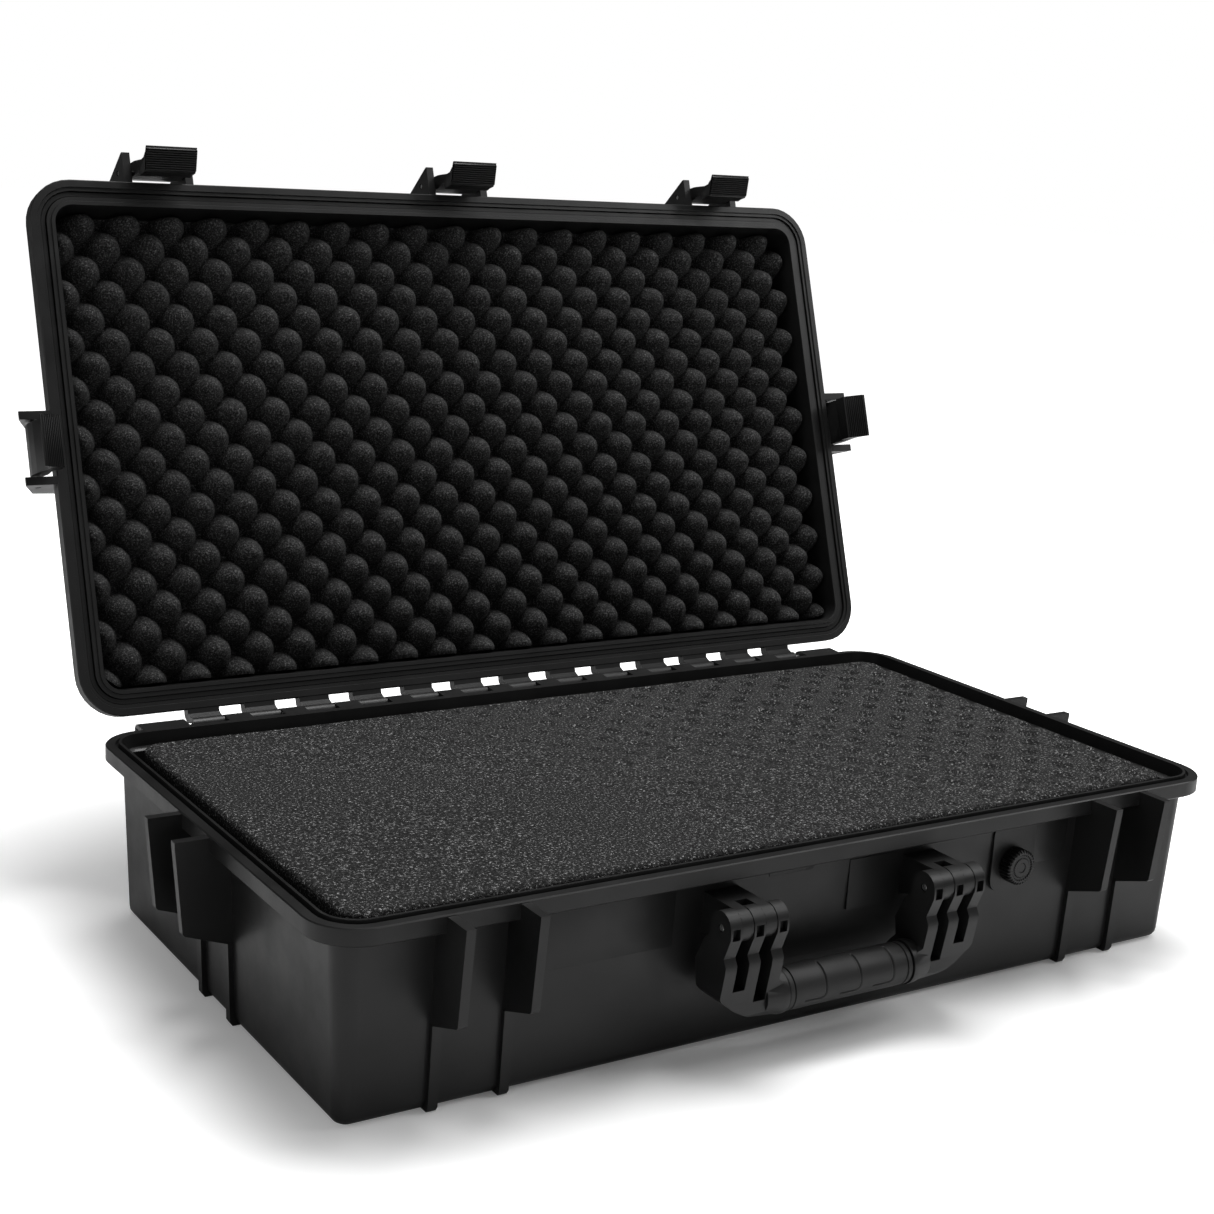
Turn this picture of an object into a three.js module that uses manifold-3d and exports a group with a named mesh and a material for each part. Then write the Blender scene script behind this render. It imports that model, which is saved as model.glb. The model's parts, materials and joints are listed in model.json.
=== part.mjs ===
// Hard equipment case: drafted tub, lid on a full-length knuckle hinge, five over-centre
// latches, folding carrying handle, pressure-release valve, rim seal and foam lining.
// Millimetres, +Z up. The case rests on z = 0, its long side runs along X and its front
// faces -Y. The lid is drawn closed, in place over the tub, and then swung open.
import * as THREE from 'three'
import * as BufferGeometryUtils from 'three/addons/utils/BufferGeometryUtils.js'
import Module from 'manifold-3d'

const wasm = await Module()
wasm.setup()

// ---- driving dimensions ----
const rimLength = 760 // outer length of the rim flange
const rimWidth = 423 // outer width of the rim flange
const rimHeight = 138 // mating plane above the ground
const rimCornerRadius = 35
const flangeHeight = 12 // vertical face of the rim flange, tub and lid alike
const matingGap = 0.3

const tubWallInset = 14.2 // wall below the flange, inward of the flange face
const tubDraft = 5 // extra inset of the wall at the floor
const tubWall = 3.6
const tubCornerRadius = 15.5 // wall corner, just below the flange
const tubFloor = 4
const tubBottomRound = 8

const lidDepth = 56 // mating plane to the lid's outer top
const lidWallInset = 15
const lidDraft = 6
const lidWall = 3.6
const lidTopRound = 10
const lidOpenAngle = 109 // degrees, resting on the hinge stop

const tongueInset = 9.8 // raised tongue round the tub opening
const tongueWidth = 2
const tongueHeight = 1.6
const sealClearance = 0.8

const hingeBehindRim = 12.5
const hingeBelowRim = 5
const barrelRadius = 5.5
const hingePinRadius = 2
const pinClearance = 0.35
const lidTabWidth = 26
const knuckleGap = 0.4 // side gap between a lid tab and a tub knuckle
const lidTabCount = 13
const endTabGap = 6.2 // from the last lid tab to the end knuckle
const endKnuckleFromEnd = 39 // outer side of the end knuckle, in from the rim's end
const endKnuckleWidth = 38

const ribPairFromEnd = 108 // centre of a front or rear fin pair, in from the rim's end
const ribPairHalf = 25.5 // half the distance between the two fins of a pair
const finThickness = 6.5
const finReach = 24 // how far a fin stands out past the flange face
const tubFinDrop = 70
const lidFinRise = 48
const lowRibWidth = 7
const lowRibProud = 3.5

const latchPinOut = 11 // latch pin, outward of the flange face
const latchPinUp = 15 // latch pin above the mating plane
const latchPinRadius = 2
const latchBossRadius = 5.2
const frontLatchGap = 1.25 // between a latch and the fin beside it
const sideLatchGap = 2.25
const latchRestAngle = 6 // degrees swung outward from the locked position
const latchBite = 2.4 // reach of the hook under the flange
const latchPlateDrop = 12.4 // outer lip of the latch plate below its hook
const latchPlateOut = 13.4 // outer lip of the locked plate, outward of the flange face
const latchHookGap = 0.6

const handleHalfWidth = 110.2
const fingerWidth = 9.2
const fingerGap = 9.8
const lugGap = 0.4
const fingersPerArm = 3
const handlePivotOut = 19.5 // pivot outward of the flange face
const handlePivotBelowRim = 34
const fingerRadius = 11.5
const slotDepths = [45, 56] // outer and inner slot of an arm, down from the pivot
const handlePinRadius = 2.6
const handlePinClearance = 0.3
const gripBehindPivot = 7
const gripDrop = 56.7 // grip axis below the pivot
const gripRadius = 15
const gripHalfLength = 54
const gripCoreRadius = 8
const gripClearance = 0.35

const valveTowardFins = 3.3 // off the middle between the handle and the fins
const valveBelowRim = 46
const valvePadWidth = 42
const valvePadBelow = 20 // foot of the pad below the valve; its head meets the flange
const valvePadProud = 2.5
const valveShankRadius = 6
const valveKnobRadius = 13.5
const valveKnobLength = 9.5

const keeperPanelWidth = 44.5
const keeperPanelHeight = 37
const keeperPanelX = 45.8
const keeperPanelBelowRim = 19.5

const foamSideGap = 8.8
const rimLedgeDrop = 9 // inner ledge below the mating plane
const foamTopBelowRim = 1.5
const foamPadTop = 30
const foamLayerGap = 0.4
const lidFoamRecess = 6

// ---- derived places ----
const halfLength = rimLength / 2
const halfWidth = rimWidth / 2
const hingeY = halfWidth + hingeBehindRim
const hingeZ = rimHeight - hingeBelowRim
const endKnuckleOuter = halfLength - endKnuckleFromEnd
const endKnuckleInner = endKnuckleOuter - endKnuckleWidth
const hingePitch = (endKnuckleInner - endTabGap - lidTabWidth / 2) / ((lidTabCount - 1) / 2)
const ribPairX = halfLength - ribPairFromEnd
const finGap = 2 * ribPairHalf - finThickness
const handlePivotHeight = rimHeight - handlePivotBelowRim
const valveHeight = rimHeight - valveBelowRim
const valveX = (handleHalfWidth + ribPairX - ribPairHalf - finThickness / 2) / 2 + valveTowardFins
const keeperPanelTop = rimHeight - keeperPanelBelowRim
const lowRibTop = rimHeight - tubFinDrop - 8
const armWidth = fingersPerArm * fingerWidth + (fingersPerArm - 1) * fingerGap
const pivotY = -halfWidth - handlePivotOut
const cornerSteps = 8
const roundSteps = 16
const deg = THREE.MathUtils.degToRad

// inset of the tub's outer wall at height z
const tubInset = z => tubWallInset + tubDraft * (rimHeight - flangeHeight - z) / (rimHeight - flangeHeight)
// inset of the lid's outer wall at height z above the mating plane
const lidInset = rise => lidWallInset + lidDraft * (rise - flangeHeight) / (lidDepth - flangeHeight)

// ---- solid helpers ----
function toSolid(geometry) {
  const bare = geometry.index ? geometry.toNonIndexed() : geometry.clone()
  bare.deleteAttribute('normal')
  bare.deleteAttribute('uv')
  const merged = BufferGeometryUtils.mergeVertices(bare, 1e-4)
  const mesh = new wasm.Mesh({
    numProp: 3,
    vertProperties: new Float32Array(merged.attributes.position.array),
    triVerts: new Uint32Array(merged.index.array)
  })
  return new wasm.Manifold(mesh)
}

function toGeometry(solid) {
  const mesh = solid.getMesh()
  const geometry = new THREE.BufferGeometry()
  geometry.setAttribute('position', new THREE.BufferAttribute(new Float32Array(mesh.vertProperties), 3))
  geometry.setIndex(new THREE.BufferAttribute(new Uint32Array(mesh.triVerts), 1))
  geometry.computeVertexNormals()
  return geometry
}

const joined = solids => solids.reduce((sum, next) => sum.add(next))
const cutBy = (solid, tools) => tools.reduce((rest, tool) => rest.subtract(tool), solid)

// rounded rectangle at height z, set in from the rim outline
function ringAt(inset, z, radius = Math.max(rimCornerRadius - inset, 6)) {
  const x = halfLength - inset - radius
  const y = halfWidth - inset - radius
  const points = []
  for (const [cx, cy, start] of [[x, y, 0], [-x, y, 90], [-x, -y, 180], [x, -y, 270]]) {
    for (let i = 0; i <= cornerSteps; i++) {
      const angle = deg(start + 90 * i / cornerSteps)
      points.push([cx + radius * Math.cos(angle), cy + radius * Math.sin(angle), z])
    }
  }
  return points
}

// the same round the tub's walls, whose corners are tighter than the rim's
const wallRingAt = (inset, z) => ringAt(inset, z, Math.max(tubCornerRadius - (inset - tubWallInset), 6))

// skin over a stack of rings; a closed loop of rings makes a gasket, else both ends are capped
function loft(rings, isLoop = false) {
  const count = rings[0].length
  const positions = rings.flat(2)
  const index = []
  const spans = isLoop ? rings.length : rings.length - 1
  for (let r = 0; r < spans; r++) {
    const low = r * count
    const high = ((r + 1) % rings.length) * count
    for (let i = 0; i < count; i++) {
      const j = (i + 1) % count
      index.push(low + i, low + j, high + j, low + i, high + j, high + i)
    }
  }
  if (!isLoop) {
    const last = (rings.length - 1) * count
    for (let i = 1; i < count - 1; i++) {
      index.push(0, i + 1, i, last, last + i, last + i + 1)
    }
  }
  const geometry = new THREE.BufferGeometry()
  geometry.setAttribute('position', new THREE.Float32BufferAttribute(positions, 3))
  geometry.setIndex(index)
  return enclosedVolume(geometry) < 0 ? turnedInsideOut(geometry) : geometry
}

function enclosedVolume(geometry) {
  const { array } = geometry.attributes.position
  const corner = i => new THREE.Vector3().fromArray(array, 3 * geometry.index.array[i])
  let volume = 0
  for (let i = 0; i < geometry.index.count; i += 3) {
    volume += corner(i).dot(corner(i + 1).cross(corner(i + 2))) / 6
  }
  return volume
}

function turnedInsideOut(geometry) {
  const flipped = []
  for (let i = 0; i < geometry.index.count; i += 3) {
    const [a, b, c] = geometry.index.array.slice(i, i + 3)
    flipped.push(a, c, b)
  }
  geometry.setIndex(flipped)
  return geometry
}

// arc of points round (cx, cy), angles in degrees
function arc(cx, cy, radius, from, to, steps = roundSteps / 2) {
  return Array.from({ length: steps + 1 }, (_, i) => {
    const angle = deg(from + (to - from) * i / steps)
    return [cx + radius * Math.cos(angle), cy + radius * Math.sin(angle)]
  })
}

// outline drawn in the Y-Z plane, extruded along X between two stations
function plateAlongX(outline, x0, x1, holes = []) {
  const shape = new THREE.Shape(outline.map(([y, z]) => new THREE.Vector2(y, z)))
  for (const hole of holes) {
    shape.holes.push(new THREE.Path(hole.map(([y, z]) => new THREE.Vector2(y, z))))
  }
  const geometry = new THREE.ExtrudeGeometry(shape, { depth: x1 - x0, bevelEnabled: false })
  const toYZ = new THREE.Matrix4().makeBasis(
    new THREE.Vector3(0, 1, 0), new THREE.Vector3(0, 0, 1), new THREE.Vector3(1, 0, 0))
  return geometry.applyMatrix4(toYZ.setPosition(x0, 0, 0))
}

const circle = (cy, cz, radius, steps = roundSteps) => arc(cy, cz, radius, 0, 360, steps).slice(0, -1)

function boxBetween([x0, y0, z0], [x1, y1, z1]) {
  const geometry = new THREE.BoxGeometry(x1 - x0, y1 - y0, z1 - z0)
  return geometry.translate((x0 + x1) / 2, (y0 + y1) / 2, (z0 + z1) / 2)
}

// turned piece about an axis along X or Y; profile is [radius, distance] pairs, closed on itself
function turned(profile, axis, steps = 24) {
  const points = [...profile, profile[0]].map(([r, d]) => new THREE.Vector2(r, d))
  const geometry = new THREE.LatheGeometry(points, steps)
  if (axis === 'x') geometry.rotateZ(-Math.PI / 2)
  return geometry
}

function pinAlongX(radius, length) {
  const chamfer = radius * 0.2
  const half = length / 2
  const profile = [[0, -half], [radius - chamfer, -half], [radius, -half + chamfer],
    [radius, half - chamfer], [radius - chamfer, half], [0, half]]
  return new THREE.LatheGeometry(profile.map(([r, d]) => new THREE.Vector2(r, d)), roundSteps).rotateZ(-Math.PI / 2)
}

// ---- places round the rim: a local frame whose -Y points outward ----
const frontSide = { x: 0, y: -halfWidth, turn: 0 }
const rearSide = { x: 0, y: halfWidth, turn: 180 }
const leftSide = { x: -halfLength, y: 0, turn: -90 }
const rightSide = { x: halfLength, y: 0, turn: 90 }

function placedAt(geometry, side, along = 0) {
  return geometry.translate(along, 0, 0).rotateZ(deg(side.turn)).translate(side.x, side.y, 0)
}

// outline given as [outward of the flange face, height]
function ribOn(side, along, outline, thickness, holes = []) {
  const flip = points => points.map(([out, z]) => [-out, z])
  const geometry = plateAlongX(flip(outline), -thickness / 2, thickness / 2, holes.map(flip))
  return toSolid(placedAt(geometry, side, along))
}

const finPairs = [
  { side: frontSide, centre: -ribPairX },
  { side: frontSide, centre: ribPairX },
  { side: leftSide, centre: 0 },
  { side: rightSide, centre: 0 }
]
const bothOf = centre => [centre - ribPairHalf, centre + ribPairHalf]

// ---- tub ----
const finTopDrop = 1.2
const tubFinOutline = [
  [-3, rimHeight - finTopDrop],
  [finReach, rimHeight - finTopDrop],
  [finReach, rimHeight - finTopDrop - 2.5],
  [18, rimHeight - tubFinDrop + 4],
  [16.5, rimHeight - tubFinDrop + 2.4],
  [-tubInset(lowRibTop - 2) - tubWall / 2, lowRibTop - 2],
  [-tubWallInset - tubWall / 2, rimHeight - flangeHeight - 2],
  [-3, rimHeight - flangeHeight + 2]
]

function lowRibOutline(top) {
  const foot = tubInset(0) - lowRibProud
  return [
    [-tubInset(top) + lowRibProud, top],
    [-foot, 3],
    [-foot - 2, 0],
    [-tubInset(0) - 9, 0],
    [-tubInset(0) - 8, 2],
    [-tubInset(9) - tubWall / 2, 9],
    [-tubInset(top) - tubWall / 2, top]
  ]
}

function tubKnuckle(x0, x1) {
  const rimY = halfWidth - 1
  const outline = [
    [rimY, hingeZ + barrelRadius - 0.8],
    ...arc(hingeY, hingeZ, barrelRadius, 90, -110),
    [rimY, rimHeight - flangeHeight + 0.6]
  ]
  return toSolid(plateAlongX(outline.reverse(), x0, x1, [circle(hingeY, hingeZ, hingePinRadius + pinClearance)]))
}

function handleLug(centre) {
  const radius = fingerRadius - 0.3
  const root = -halfWidth + tubInset(handlePivotHeight) + tubWall / 2
  const outline = [
    [root, handlePivotHeight + radius],
    ...arc(pivotY, handlePivotHeight, radius, 90, 290),
    [pivotY + fingerRadius + 2, handlePivotHeight - radius],
    [root, handlePivotHeight - radius - 8]
  ]
  const bore = circle(pivotY, handlePivotHeight, handlePinRadius + handlePinClearance)
  const half = fingerGap / 2 - lugGap
  return toSolid(plateAlongX(outline, centre - half, centre + half, [bore]))
}

function fingerCentres(armSide) {
  const step = fingerWidth + fingerGap
  const outer = handleHalfWidth - fingerWidth / 2
  return Array.from({ length: fingersPerArm }, (_, i) => armSide * (outer - i * step))
}

function lugCentres(armSide) {
  const fingers = fingerCentres(armSide)
  return fingers.slice(1).map((x, i) => (x + fingers[i]) / 2)
}

function makeTub() {
  const flangeFoot = rimHeight - flangeHeight
  const bottom = tubWallInset + tubDraft
  const floorRound = 6
  const inner = bottom + tubWall
  const outside = [
    ...arc(bottom + tubBottomRound, tubBottomRound, tubBottomRound, 270, 180, 4),
    [tubWallInset, flangeFoot]
  ]
  const rim = [
    [0.8, flangeFoot],
    [0, flangeFoot + 0.8],
    [0, rimHeight - 0.8],
    [0.8, rimHeight],
    [tongueInset - 2.6, rimHeight],
    [tongueInset - 2.2, rimHeight - 2.5],
    [tongueInset - 0.4, rimHeight - 2.5],
    [tongueInset, rimHeight + tongueHeight],
    [tongueInset + tongueWidth, rimHeight + tongueHeight],
    [tongueInset + tongueWidth + 0.6, rimHeight - rimLedgeDrop]
  ]
  const inside = [
    [tubWallInset + 2, rimHeight - rimLedgeDrop - 0.5],
    [tubWallInset + tubWall, rimHeight - rimLedgeDrop - 2],
    ...arc(inner + floorRound, tubFloor + floorRound, floorRound, 180, 270, 3)
  ]
  const body = toSolid(loft([
    ...outside.map(([inset, z]) => wallRingAt(inset, z)),
    ...rim.map(([inset, z]) => ringAt(inset, z)),
    ...inside.map(([inset, z]) => wallRingAt(inset, z))
  ]))
  const parts = [body]
  for (const { side, centre } of finPairs) {
    for (const along of bothOf(centre)) {
      parts.push(ribOn(side, along, tubFinOutline, finThickness))
      parts.push(ribOn(side, along, lowRibOutline(lowRibTop), lowRibWidth))
    }
  }
  for (const centre of [-ribPairX, ribPairX]) {
    for (const along of bothOf(centre)) {
      parts.push(ribOn(rearSide, along, lowRibOutline(flangeFoot + 1), lowRibWidth))
    }
  }
  for (let i = 0; i < lidTabCount - 1; i++) {
    const centre = (i - (lidTabCount - 2) / 2) * hingePitch
    const half = (hingePitch - lidTabWidth) / 2 - knuckleGap
    parts.push(tubKnuckle(centre - half, centre + half))
  }
  parts.push(tubKnuckle(-endKnuckleOuter, -endKnuckleInner))
  parts.push(tubKnuckle(endKnuckleInner, endKnuckleOuter))
  for (const armSide of [-1, 1]) {
    parts.push(...lugCentres(armSide).map(handleLug))
    const block = lugCentres(armSide).sort((a, b) => a - b)
    parts.push(toSolid(boxBetween(
      [block[0] - fingerGap / 2 + lugGap, pivotY + fingerRadius + 1, handlePivotHeight - 4],
      [block[1] + fingerGap / 2 - lugGap, -halfWidth + tubInset(handlePivotHeight) + tubWall / 2,
        handlePivotHeight + fingerRadius - 0.3])))
  }
  const wallFace = -halfWidth + tubInset(valveHeight)
  const padFoot = valveHeight - valvePadBelow
  const padHeight = flangeFoot + 1 - padFoot
  parts.push(toSolid(roundedPad(valveX, padFoot + padHeight / 2, valvePadWidth, padHeight,
    wallFace - valvePadProud, wallFace + tubWall / 2)))
  const panelMiddle = keeperPanelTop - keeperPanelHeight / 2
  const panelFace = -halfWidth + tubInset(keeperPanelTop)
  parts.push(toSolid(boxBetween(
    [keeperPanelX - keeperPanelWidth / 2, panelFace - 0.6, panelMiddle - keeperPanelHeight / 2],
    [keeperPanelX + keeperPanelWidth / 2, panelFace + tubWall - 0.8, panelMiddle + keeperPanelHeight / 2])))
  const valveBore = turned([[0, -8], [valveShankRadius + 0.3, -8], [valveShankRadius + 0.3, 8], [0, 8]], 'y')
    .translate(valveX, wallFace, valveHeight)
  return joined(parts).subtract(toSolid(valveBore))
}

// pad with rounded corners standing on the front wall, between two Y stations
function roundedPad(x, z, width, height, y0, y1) {
  const radius = 10
  const [hx, hz] = [width / 2 - radius, height / 2 - radius]
  const outline = [
    ...arc(hx, hz, radius, 0, 90, 4), ...arc(-hx, hz, radius, 90, 180, 4),
    ...arc(-hx, -hz, radius, 180, 270, 4), ...arc(hx, -hz, radius, 270, 360, 4)
  ]
  const shape = new THREE.Shape(outline.map(([a, b]) => new THREE.Vector2(a, b)))
  const geometry = new THREE.ExtrudeGeometry(shape, { depth: y1 - y0, bevelEnabled: false })
  return geometry.rotateX(Math.PI / 2).translate(x, y1, z)
}

// ---- lid, drawn closed ----
const lidFinOutline = [
  [-3, rimHeight + matingGap + 0.6],
  [-3, rimHeight + flangeHeight - 2],
  [-lidWallInset - lidWall / 2, rimHeight + flangeHeight + 1],
  [-lidInset(lidFinRise + 5) - lidWall / 2, rimHeight + lidFinRise + 5],
  [7, rimHeight + lidFinRise - 2],
  [finReach, rimHeight + 3],
  [finReach, rimHeight + matingGap + 0.6]
]

function lidTab(centre) {
  const base = rimHeight + matingGap
  const outline = [
    [halfWidth - 1, base + 0.5],
    [halfWidth + 3.5, base + 0.5],
    ...arc(hingeY, hingeZ, barrelRadius, 165, 400),
    [halfWidth + 5, base + 9],
    [halfWidth - 1, base + 9]
  ]
  return toSolid(plateAlongX(outline, centre - lidTabWidth / 2, centre + lidTabWidth / 2,
    [circle(hingeY, hingeZ, hingePinRadius + pinClearance)]))
}

function makeLid() {
  const base = rimHeight + matingGap
  const top = base + lidDepth
  const flangeTop = base + flangeHeight
  const grooveIn = tongueInset - sealClearance
  const grooveOut = tongueInset + tongueWidth + sealClearance + 0.8
  const grooveDepth = 6
  const upper = lidWallInset + lidDraft
  const ceilingRound = 6
  const innerTop = upper + lidWall
  const rings = [
    ...arc(upper + lidTopRound, top - lidTopRound, lidTopRound, 90, 180, 4),
    [lidWallInset, flangeTop],
    [0.8, flangeTop],
    [0, flangeTop - 0.8],
    [0, base + 0.8],
    [0.8, base],
    [grooveIn - 3.2, base],
    [grooveIn - 2.8, base + 1.3],
    [grooveIn - 0.2, base + 1.3],
    [grooveIn, base + grooveDepth],
    [grooveOut, base + grooveDepth],
    [grooveOut + 0.2, base + 1.3],
    [grooveOut + 3.4, base + 1.3],
    [grooveOut + 3.8, base + 0.3],
    [lidWallInset + 5, base + 0.3],
    [lidWallInset + 5.6, base + 1.6],
    [lidWallInset + 6.2, flangeTop],
    ...arc(innerTop + ceilingRound, top - lidWall - ceilingRound, ceilingRound, 180, 90, 3)
  ]
  const parts = [toSolid(loft(rings.map(([inset, z]) => ringAt(inset, z))))]
  const bore = circle(latchPinOut, rimHeight + latchPinUp, latchPinRadius + pinClearance)
  for (const { side, centre } of latchPlaces) {
    for (const along of bothOf(centre)) {
      parts.push(ribOn(side, along, lidFinOutline, finThickness, [bore]))
    }
  }
  for (let i = 0; i < lidTabCount; i++) {
    parts.push(lidTab((i - (lidTabCount - 1) / 2) * hingePitch))
  }
  return joined(parts)
}

const latchPlaces = [
  { name: 'latch_front_left', side: frontSide, centre: -ribPairX, width: finGap - 2 * frontLatchGap },
  { name: 'latch_front_centre', side: frontSide, centre: 0, width: finGap - 2 * frontLatchGap },
  { name: 'latch_front_right', side: frontSide, centre: ribPairX, width: finGap - 2 * frontLatchGap },
  { name: 'latch_left', side: leftSide, centre: 0, width: finGap - 2 * sideLatchGap },
  { name: 'latch_right', side: rightSide, centre: 0, width: finGap - 2 * sideLatchGap }
]

function makeSeal() {
  const base = rimHeight + matingGap
  const inner = tongueInset - sealClearance + 0.6
  const outer = tongueInset + tongueWidth + sealClearance + 0.2
  const rings = [[inner, base + 3], [outer, base + 3], [outer, base + 5.6], [inner, base + 5.6]]
  return loft(rings.map(([inset, z]) => ringAt(inset, z)), true)
}

// latch drawn locked, round its own pin at the origin, outward along -Y
function latchGeometry(width) {
  const at = (out, down) => [-(out - latchPinOut), -(down + latchPinUp)]
  const hookTop = flangeHeight + latchHookGap
  const [lipOut, lipDown] = [latchPlateOut, hookTop + 11 + latchPlateDrop]
  const heelDown = hookTop + 12.6
  const outline = [
    at(latchPinOut + latchBossRadius, -latchPinUp),
    at(16, -6), at(14, 4), at(11, 13), at(8.6, 20), at(8.2, 24.5), at(lipOut - 2.6, lipDown - 5),
    at(lipOut + 0.6, lipDown - 1.6), at(lipOut, lipDown), at(lipOut - 1.6, lipDown),
    at(-latchBite - 0.6, heelDown + 1), at(-latchBite - 1, heelDown - 1), at(-latchBite, hookTop + 5),
    at(-latchBite, hookTop), at(3, hookTop), at(3.4, hookTop - 1), at(3.4, -8),
    ...arc(0, 0, latchBossRadius, 20, 165, 8)
  ]
  const core = [at(-latchBite + 2.6, hookTop + 3), at(5.8, hookTop + 3), at(5.6, heelDown - 1.4),
    at(-latchBite + 2, heelDown - 2.4)]
  return plateAlongX(outline, -width / 2, width / 2, [core, circle(0, 0, latchPinRadius + pinClearance)])
}

// ---- handle, drawn round its pivot and then placed ----
function makeHandleFrame() {
  const [back, low] = [gripBehindPivot, -gripDrop - gripRadius]
  const profile = [
    ...arc(0, 0, fingerRadius, 0, 180, 10),
    [-fingerRadius, -5], [-5.5, low * 0.28], [-8.5, low * 0.35], [-8, low * 0.425], [back - 10.5, low + 17],
    [back - 10.5, low + 7.5], [back - 5, low + 0.2], [back + 5, low + 0.2], [back + 11, low + 6],
    [back + 14, low + 17], [back + 16.5, low + 26], [back + 19, low * 0.43], [back + 10, -12.5],
    [fingerRadius, -7.5]
  ]
  const collarEnd = gripHalfLength + 0.6
  const outer = handleHalfWidth
  const inner = handleHalfWidth - armWidth
  const front = [
    [outer, 14], [inner, 14], [inner, low + 28], [collarEnd, low + 24], [collarEnd, low],
    [inner + 21, low + 4.5], [outer - 13, low + 11.5], [outer - 2, low + 20], [outer, low + 23]
  ]
  const parts = []
  for (const armSide of [-1, 1]) {
    const slab = toSolid(plateAlongX(profile, Math.min(armSide * collarEnd, armSide * outer),
      Math.max(armSide * collarEnd, armSide * outer)))
    const shape = new THREE.Shape(front.map(([x, z]) => new THREE.Vector2(armSide * x, z)))
    const mask = new THREE.ExtrudeGeometry(shape, { depth: 80, bevelEnabled: false })
      .rotateX(Math.PI / 2).translate(0, 40, 0)
    const slots = lugCentres(armSide).map((x, i) => toSolid(boxBetween(
      [x - fingerGap / 2, -40, -slotDepths[i]], [x + fingerGap / 2, 40, 20])))
    const pockets = fingerCentres(armSide).map(x => toSolid(boxBetween([x - 3, -40, -6], [x + 3, -7, 2])))
    const collar = turned([[0, collarEnd], [gripRadius + 0.8, collarEnd], [gripRadius + 0.8, inner - 4],
      [gripRadius - 2, inner + 8], [0, inner + 8]], 'x')
    if (armSide < 0) collar.rotateZ(Math.PI)
    collar.translate(0, gripBehindPivot, -gripDrop)
    const arm = cutBy(slab.intersect(toSolid(mask)), [...slots, ...pockets])
    parts.push(arm.add(toSolid(collar)))
  }
  const core = pinAlongX(gripCoreRadius, 2 * (inner + 4)).translate(0, gripBehindPivot, -gripDrop)
  const bore = pinAlongX(handlePinRadius + handlePinClearance, 4 * handleHalfWidth)
  return joined([...parts, toSolid(core)]).subtract(toSolid(bore))
}

function makeGrip() {
  const r = gripRadius
  const half = gripHalfLength
  const bore = gripCoreRadius + gripClearance
  const profile = [[bore, -half], [r - 1, -half], [r, -half + 2], [r, half - 2], [r - 1, half], [bore, half]]
  return turned(profile, 'x').translate(0, gripBehindPivot, -gripDrop)
}

// ---- foam lining ----
const foamCorner = 16

function makeBaseFoam() {
  const top = rimHeight - foamTopBelowRim
  const low = foamPadTop + foamLayerGap
  const edge = tubWallInset + tubWall + foamSideGap
  return loft([ringAt(tubInset(low) + tubWall + foamSideGap / 2, low, foamCorner),
    ringAt(edge, top - 2, foamCorner), ringAt(edge + 2, top, foamCorner - 2)])
}

function makeFoamPad() {
  const side = z => tubInset(z) + tubWall + foamSideGap / 2
  return loft([ringAt(side(0) + 5, tubFloor + 0.5, foamCorner), ringAt(side(12), 12, foamCorner),
    ringAt(side(foamPadTop), foamPadTop, foamCorner)])
}

function makeLidFoam() {
  const base = rimHeight + matingGap
  const face = base + lidFoamRecess
  const ceiling = base + lidDepth - lidWall
  const side = z => lidWallInset + 6.2 + 2.2 + lidDraft * (z - base) / lidDepth
  return loft([ringAt(side(face) + 1, face), ringAt(side(face), face + 3),
    ringAt(side(ceiling - 10), ceiling - 10), ringAt(side(ceiling) + 6, ceiling - 0.5)])
}

// ---- pressure-release valve, turned about an axis along Y at the origin ----
const valveFace = -halfWidth + tubInset(valveHeight) - valvePadProud
const innerWallFace = -halfWidth + tubInset(valveHeight) + tubWall
const flangeAt = valveFace - 1.8
const nutSeat = innerWallFace + 1.6 // clears the drafted wall above and below the axis

function makeValveBody() {
  const r = valveShankRadius
  return turned([[0, innerWallFace + 3.4], [0, flangeAt - 2], [10, flangeAt - 2], [10, flangeAt], [r, flangeAt],
    [r, innerWallFace + 3.4]], 'y')
}

function makeValveSeal() {
  const [r0, r1] = [valveShankRadius + 0.4, 9.4]
  return turned([[r0, valveFace - 0.3], [r0, flangeAt + 0.3], [r1, flangeAt + 0.3], [r1, valveFace - 0.3]], 'y')
}

function makeValveNut() {
  const r0 = (valveShankRadius + 0.3) / Math.cos(Math.PI / 6) // six-sided hole round the shank
  const r1 = 10
  return turned([[r0, nutSeat + 2.4], [r0, nutSeat], [r1, nutSeat], [r1, nutSeat + 2.4]], 'y', 6)
}

function makeValveKnob() {
  const back = valveFace - 0.6
  const front = valveFace - valveKnobLength - 0.6
  const hollow = flangeAt - 2.4
  const r = valveKnobRadius
  return turned([[0, hollow], [0, front + 1], [r - 3, front + 1], [r - 2.4, front], [r - 0.8, front],
    [r, front + 1], [r, back], [10.6, back], [10.6, hollow]], 'y')
}

// ---- materials ----
const plastic = (color, roughness) => new THREE.MeshStandardMaterial({ color, roughness, metalness: 0 })
const shellPlastic = plastic(0x1b1b1d, 0.5)
const latchPlastic = plastic(0x232325, 0.45)
const gripRubber = plastic(0x2a2a2c, 0.7)
const sealRubber = plastic(0x101011, 0.65)
const openFoam = plastic(0x1e1e20, 0.95)
const pinSteel = new THREE.MeshStandardMaterial({ color: 0xb9bbbe, roughness: 0.3, metalness: 1 })

function named(name, geometry, material) {
  const mesh = new THREE.Mesh(geometry, material)
  mesh.name = name
  return mesh
}

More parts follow.
